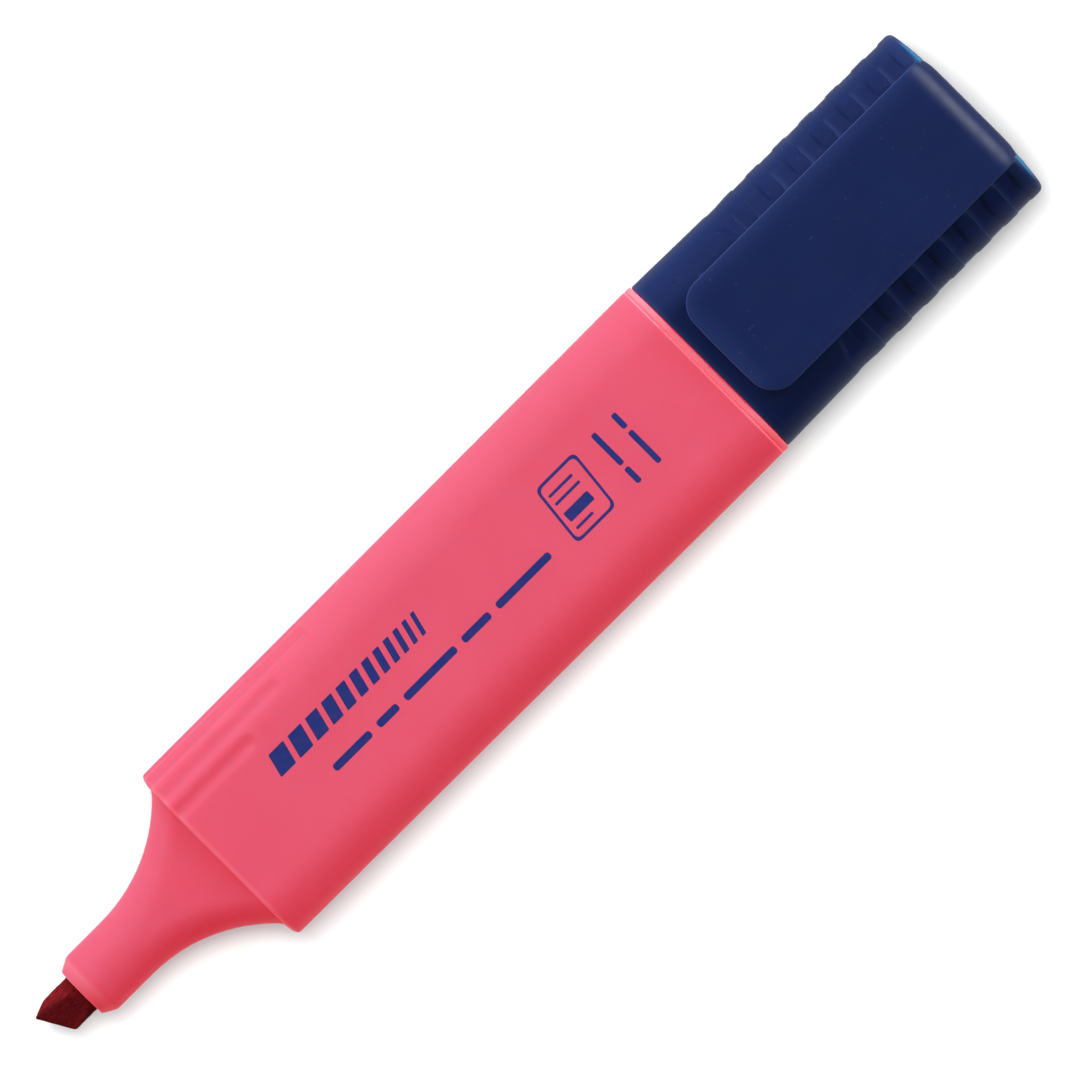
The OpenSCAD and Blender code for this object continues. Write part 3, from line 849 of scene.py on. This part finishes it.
def under_path(s):
    """Station and height of the clip's underside, which runs into the cap at the root."""
    under = CLIP_TOP - CLIP_T
    web = CLIP_T - (CLIP_TOP - AXIS_Z - CAP_HALF_T) + 2 * WEB_R
    root_x = bend_x - ROOT_LEN
    path = soften([(root_x - 1.2, under), (root_x + WEB_R, under), (root_x + WEB_R, under - web),
                   (X_END - WEB_BACK, under - web), (X_END - WEB_BACK, bend_z - LEG_LEN)],
                  (WEB_R, 0.1, 0.1), 8)
    lengths = np.concatenate([[0], np.cumsum(np.linalg.norm(np.diff(path, axis=0), axis=1))])
    leaves = root_x - 1.2 - x_free
    share = np.clip((s - leaves) / (straight + bend + LEG_LEN - leaves), 0, 1) * lengths[-1]
    x = np.where(s < leaves, x_free + s, np.interp(share, lengths, path[:, 0]))
    z = np.where(s < leaves, under, np.interp(share, lengths, path[:, 1]))
    return x, z


def edge_drop(d):
    """How far the clip's face lies below its flat, at distance d from the outline."""
    edge = EDGE_R - np.sqrt(np.maximum(EDGE_R ** 2 - np.maximum(EDGE_R - d, 0) ** 2, 0))
    return edge + BEVEL_DROP * np.clip(1 - (d - EDGE_R) / (BEVEL_W - EDGE_R), 0, 1) ** 3


def bulged(x, s, t):
    """Stations near the free end, pushed out towards its middle so that the end is bowed."""
    return x - CLIP_BULGE * (1 - (t / CLIP_HALF_W) ** 2) * smooth(1 - s / 5)


def clip():
    """Lanes over the clip's face and under it, joined at the outline, with a bead under the free end."""
    top, under = [], []
    for inset in TOP_LANES:
        s, t, rows = clip_lane(inset)
        x, z, nx, nz = outer_path(s)
        x = bulged(x, s, t)
        drop = edge_drop(inset) + LEDGE * smooth((s - straight - bend * 0.58) / 0.16)
        top.append(np.column_stack([x - nx * drop, t, z - nz * drop]))
    for inset in UNDER_LANES:
        s, t, rows = clip_lane(inset)
        x, z = under_path(s)
        x = bulged(x, s, t)
        lift = 0.15 * (1 - math.sqrt(max(1 - (1 - min(inset / UNDER_EDGE_R, 1)) ** 2, 0)))
        bead = np.sqrt(np.maximum(BEAD_R ** 2 - (x - BEAD_X) ** 2, 0)) * smooth((inset - 1.6) / 0.4)
        under.append(np.column_stack([x, t, z + lift - bead]))
    lanes = top[::-1] + under
    n = len(top[0])
    faces = []
    for k in range(len(lanes) - 1):
        a, b = k * n, (k + 1) * n
        faces += [(a + i, a + i + 1, b + i + 1, b + i) for i in range(n - 1)]
    last = (len(lanes) - 1) * n
    # The middle of each face: strips across between the sides, then the rounded free end.
    for i in range(rows - 1):
        faces.append((i, n - 1 - i, n - 2 - i, i + 1))
        faces.append((last + i, last + i + 1, last + n - 2 - i, last + n - 1 - i))
    faces.append(tuple(reversed(range(rows - 1, n - rows + 1))))
    faces.append(tuple(range(last + rows - 1, last + n - rows + 1)))
    ends = [k * n for k in range(len(lanes))]
    faces.append(tuple(ends + [k + n - 1 for k in reversed(ends)]))
    points = np.vstack(lanes)
    insets = np.repeat(list(TOP_LANES[::-1]) + list(UNDER_LANES), n)
    # The edge mark on the clip is painted highlight and painted light: a pale band along the sides, a paler
    # free end, a pale patch over the bend and bright lines at the outline.
    from_end = smooth(1 - (points[:, 0] - clip_low[0]) / 3.2)
    on_bend = smooth((points[:, 0] - bend_x - 0.6) / 1.6)
    edge = np.maximum(0.19 * np.exp(-insets / 1.2), 0.22 * from_end) + 0.12 * on_bend
    edge = np.maximum(edge, 0.6 * smooth(1.4 - insets / 0.13))
    obj = make_piece("clip_plate", points, faces, NAVY, edge=edge)
    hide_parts("cap_clip")
    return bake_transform(obj)


# ---------------------------------------------------------------- printed marks

PRINT_T = 0.02
BAR_COUNT = 12
BAR_START = -37.0
BAR_W = 2.5
BAR_SHRINK = 0.88
BAR_GAP = 0.75
BAR_LEAN = math.radians(14)
BAR_Y = (1.4, 4.4)
DASHES = ((-31.8, 6.2), (-24.4, 3.4), (-19.8, 8.6), (-10.0, 4.6), (-4.2, 9.0))    # station, length
DASH_Y = (-2.9, -1.9)
PAGE = (8.0, 14.6, -3.9, 4.3)
PAGE_LEAN = math.radians(6)
PAGE_LINE = 0.38
PAGE_ROWS = ((2.5, 9.5, 13.4), (1.3, 9.4, 13.5), (-2.5, 9.2, 12.0))               # level, start, stop
ROW_HALF_T = 0.18
PAGE_MARK = (9.3, 13.3, -1.5, -0.1)
TICKS = ((18.2, -3.9, -1.5), (18.2, -0.9, 4.2), (21.6, -3.9, 1.3), (21.6, 1.9, 4.2))  # station, low, high
TICK_W = 0.75


def rounded_outline(corners, r, steps=4):
    """A polygon with rounded corners, corners in order."""
    corners = [np.array(c, float) for c in corners]
    loop = [corners[-1]] + corners + [corners[0]]
    return soften(loop, [r] * len(corners), steps)[1:-1]


def box_outline(x0, x1, y0, y1, r, lean=0.0):
    """A rounded box whose upper side leans along +X."""
    shift = (y1 - y0) * math.tan(lean)
    return rounded_outline([(x0, y0), (x1, y0), (x1 + shift, y1), (x0 + shift, y1)], r)


def frame_outline(outer, line):
    """The outline and the same outline drawn in, for a mark that is only a line."""
    centre = outer.mean(axis=0)
    size = outer.max(axis=0) - outer.min(axis=0)
    return outer, centre + (outer - centre) * (size - 2 * line) / size


def print_marks():
    """Generic marks where such a pen is printed: slanted strokes, dashes, and a page with a marked line."""
    solid = []
    width, x = BAR_W, BAR_START
    for _ in range(BAR_COUNT):
        solid.append(box_outline(x, x + width, *BAR_Y, 0.12, BAR_LEAN))
        x += width + BAR_GAP
        width *= BAR_SHRINK
    solid += [box_outline(start, start + length, *DASH_Y, 0.45) for start, length in DASHES]
    solid += [box_outline(start, stop, level - ROW_HALF_T, level + ROW_HALF_T, 0.16)
              for level, start, stop in PAGE_ROWS]
    solid.append(box_outline(*PAGE_MARK, 0.2))
    solid += [box_outline(x, x + TICK_W, y0, y1, 0.3) for x, y0, y1 in TICKS]
    top = barrel_high[2]
    points, faces = [], []
    for outline in solid:
        add_plate(points, faces, outline, top)
    add_band(points, faces, *frame_outline(box_outline(*PAGE, 0.9, PAGE_LEAN), PAGE_LINE), top)
    obj = make_piece("print_marks", np.array(points), faces, INK, 20)
    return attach(obj, "pen")


def add_plate(points, faces, outline, top):
    """A thin closed plate, its face just above the surface and its underside just below."""
    base, n = len(points), len(outline)
    for z in (top - PRINT_T / 2, top + PRINT_T):
        points += [(x, y, z) for x, y in outline]
    faces.append(tuple(base + i for i in reversed(range(n))))
    faces.append(tuple(base + n + i for i in range(n)))
    faces += [(base + i, base + (i + 1) % n, base + n + (i + 1) % n, base + n + i) for i in range(n)]


def add_band(points, faces, outer, inner, top):
    """A thin closed band between two outlines of the same count."""
    base, n = len(points), len(outer)
    low, high = top - PRINT_T / 2, top + PRINT_T
    for outline, z in ((outer, low), (outer, high), (inner, high), (inner, low)):
        points += [(x, y, z) for x, y in outline]
    for k in range(4):
        a, b = base + k * n, base + (k + 1) % 4 * n
        faces += [(a + i, a + (i + 1) % n, b + (i + 1) % n, b + i) for i in range(n)]


# ---------------------------------------------------------------- stage, light and camera

def area_light(name, location, size, level, receivers, glossy=True):
    """A soft rectangular light that faces the pen and lights only its receivers, level at the pen."""
    data = bpy.data.lights.new(name, "AREA")
    data.shape = "RECTANGLE"
    data.size, data.size_y = size
    data.energy = level * (math.pi * Vector(location).length) ** 2
    light = bpy.data.objects.new(name, data)
    light.location = location
    light.rotation_euler = (-Vector(location)).to_track_quat("-Z", "Y").to_euler()
    bpy.context.scene.collection.objects.link(light)
    light.visible_camera = False
    light.visible_glossy = glossy
    light.light_linking.receiver_collection = receivers


def receivers_of(name, floor, state):
    """A collection that limits a light to the floor, or to all but the floor."""
    collection = bpy.data.collections.new(name)
    collection.objects.link(floor)
    collection.collection_objects[0].light_linking.link_state = state
    return collection


# Each ramp follows a direction from one value to another, and feeds an input of the mix.
WORLD_RAMPS = (("Y", -0.55, 0.0, 0.03, 0.19, "B"), ("Z", -0.2, -0.9, 0.14, 0.44, "A"),
               ("Z", -0.15, 0.1, 0.0, 1.0, "Factor"))


def studio_world():
    """A dim studio: softly lit overhead and on the +Y side, dark on the other, pale straight below."""
    world = bpy.data.worlds.new("studio")
    world.use_nodes = True
    nodes, links = world.node_tree.nodes, world.node_tree.links
    place = nodes.new("ShaderNodeTexCoord")
    split = nodes.new("ShaderNodeSeparateXYZ")
    blend = nodes.new("ShaderNodeMix")
    links.new(place.outputs["Generated"], split.inputs["Vector"])
    for axis, low, high, to_low, to_high, target in WORLD_RAMPS:
        step = nodes.new("ShaderNodeMapRange")
        step.interpolation_type = "SMOOTHSTEP"
        for socket, value in zip(("From Min", "From Max", "To Min", "To Max"), (low, high, to_low, to_high)):
            step.inputs[socket].default_value = value
        links.new(split.outputs[axis], step.inputs["Value"])
        links.new(step.outputs["Result"], blend.inputs[target])
    links.new(blend.outputs["Result"], nodes["Background"].inputs["Color"])
    bpy.context.scene.world = world


FLOOR_HALF = 3.0


def stage():
    """The floor and the lights. The floor has lights of its own and does not tint the pen."""
    mesh = bpy.data.meshes.new("floor")
    corners = [(x * FLOOR_HALF, y * FLOOR_HALF, 0) for x, y in ((-1, -1), (1, -1), (1, 1), (-1, 1))]
    mesh.from_pydata(corners, [], [(0, 1, 2, 3)])
    mesh.materials.append(pale_floor())
    floor = bpy.data.objects.new("floor", mesh)
    bpy.context.scene.collection.objects.link(floor)
    floor.visible_diffuse = False
    floor.visible_glossy = False
    studio_world()
    bpy.context.scene.view_settings.view_transform = "Standard"
    on_floor = receivers_of("floor_only", floor, "INCLUDE")
    on_pen = receivers_of("all_but_floor", floor, "EXCLUDE")
    area_light("key", (-0.08, 0.78, 0.50), (1.3, 0.85), 1.55, on_pen, glossy=False)
    area_light("end_light", (0.65, 0.02, 0.38), (0.46, 0.42), 0.55, on_pen)
    area_light("low_fill", (0.25, -0.80, 0.24), (1.4, 0.5), 0.24, on_pen, glossy=False)
    area_light("floor_sky", (0.0, 0.0, 2.4), (9.0, 9.0), 10.6, on_floor)
    area_light("floor_light", (0.0, 0.16, 0.95), (0.30, 0.46), 2.5, on_floor)


CAMERA_HEIGHT = 2.0
CAMERA_LENS = 552.8
CAMERA_TURN = math.radians(-44.94)
CAMERA_ASIDE = Vector((5.12, -0.36)) * MM


def camera():
    """Straight above the pen, far off, turned so that the pen points up to the right."""
    data = bpy.data.cameras.new("camera")
    data.sensor_width = 36
    data.lens = CAMERA_LENS
    obj = bpy.data.objects.new("camera", data)
    middle = (cad_low + cad_high) / 2
    obj.location = (middle.x + CAMERA_ASIDE.x, middle.y + CAMERA_ASIDE.y, AXIS_Z * MM + CAMERA_HEIGHT)
    obj.rotation_euler = (0, 0, CAMERA_TURN)
    bpy.context.scene.collection.objects.link(obj)
    bpy.context.scene.camera = obj


barrel()
nose()
nib()
plug()
cap_body()
thimble()
clip()
print_marks()
for node, material in (("ink_reservoir", core_fibre()), ("reservoir_film", core_film())):
    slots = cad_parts[node].data.materials
    slots.clear()
    slots.append(material)
stage()
camera()
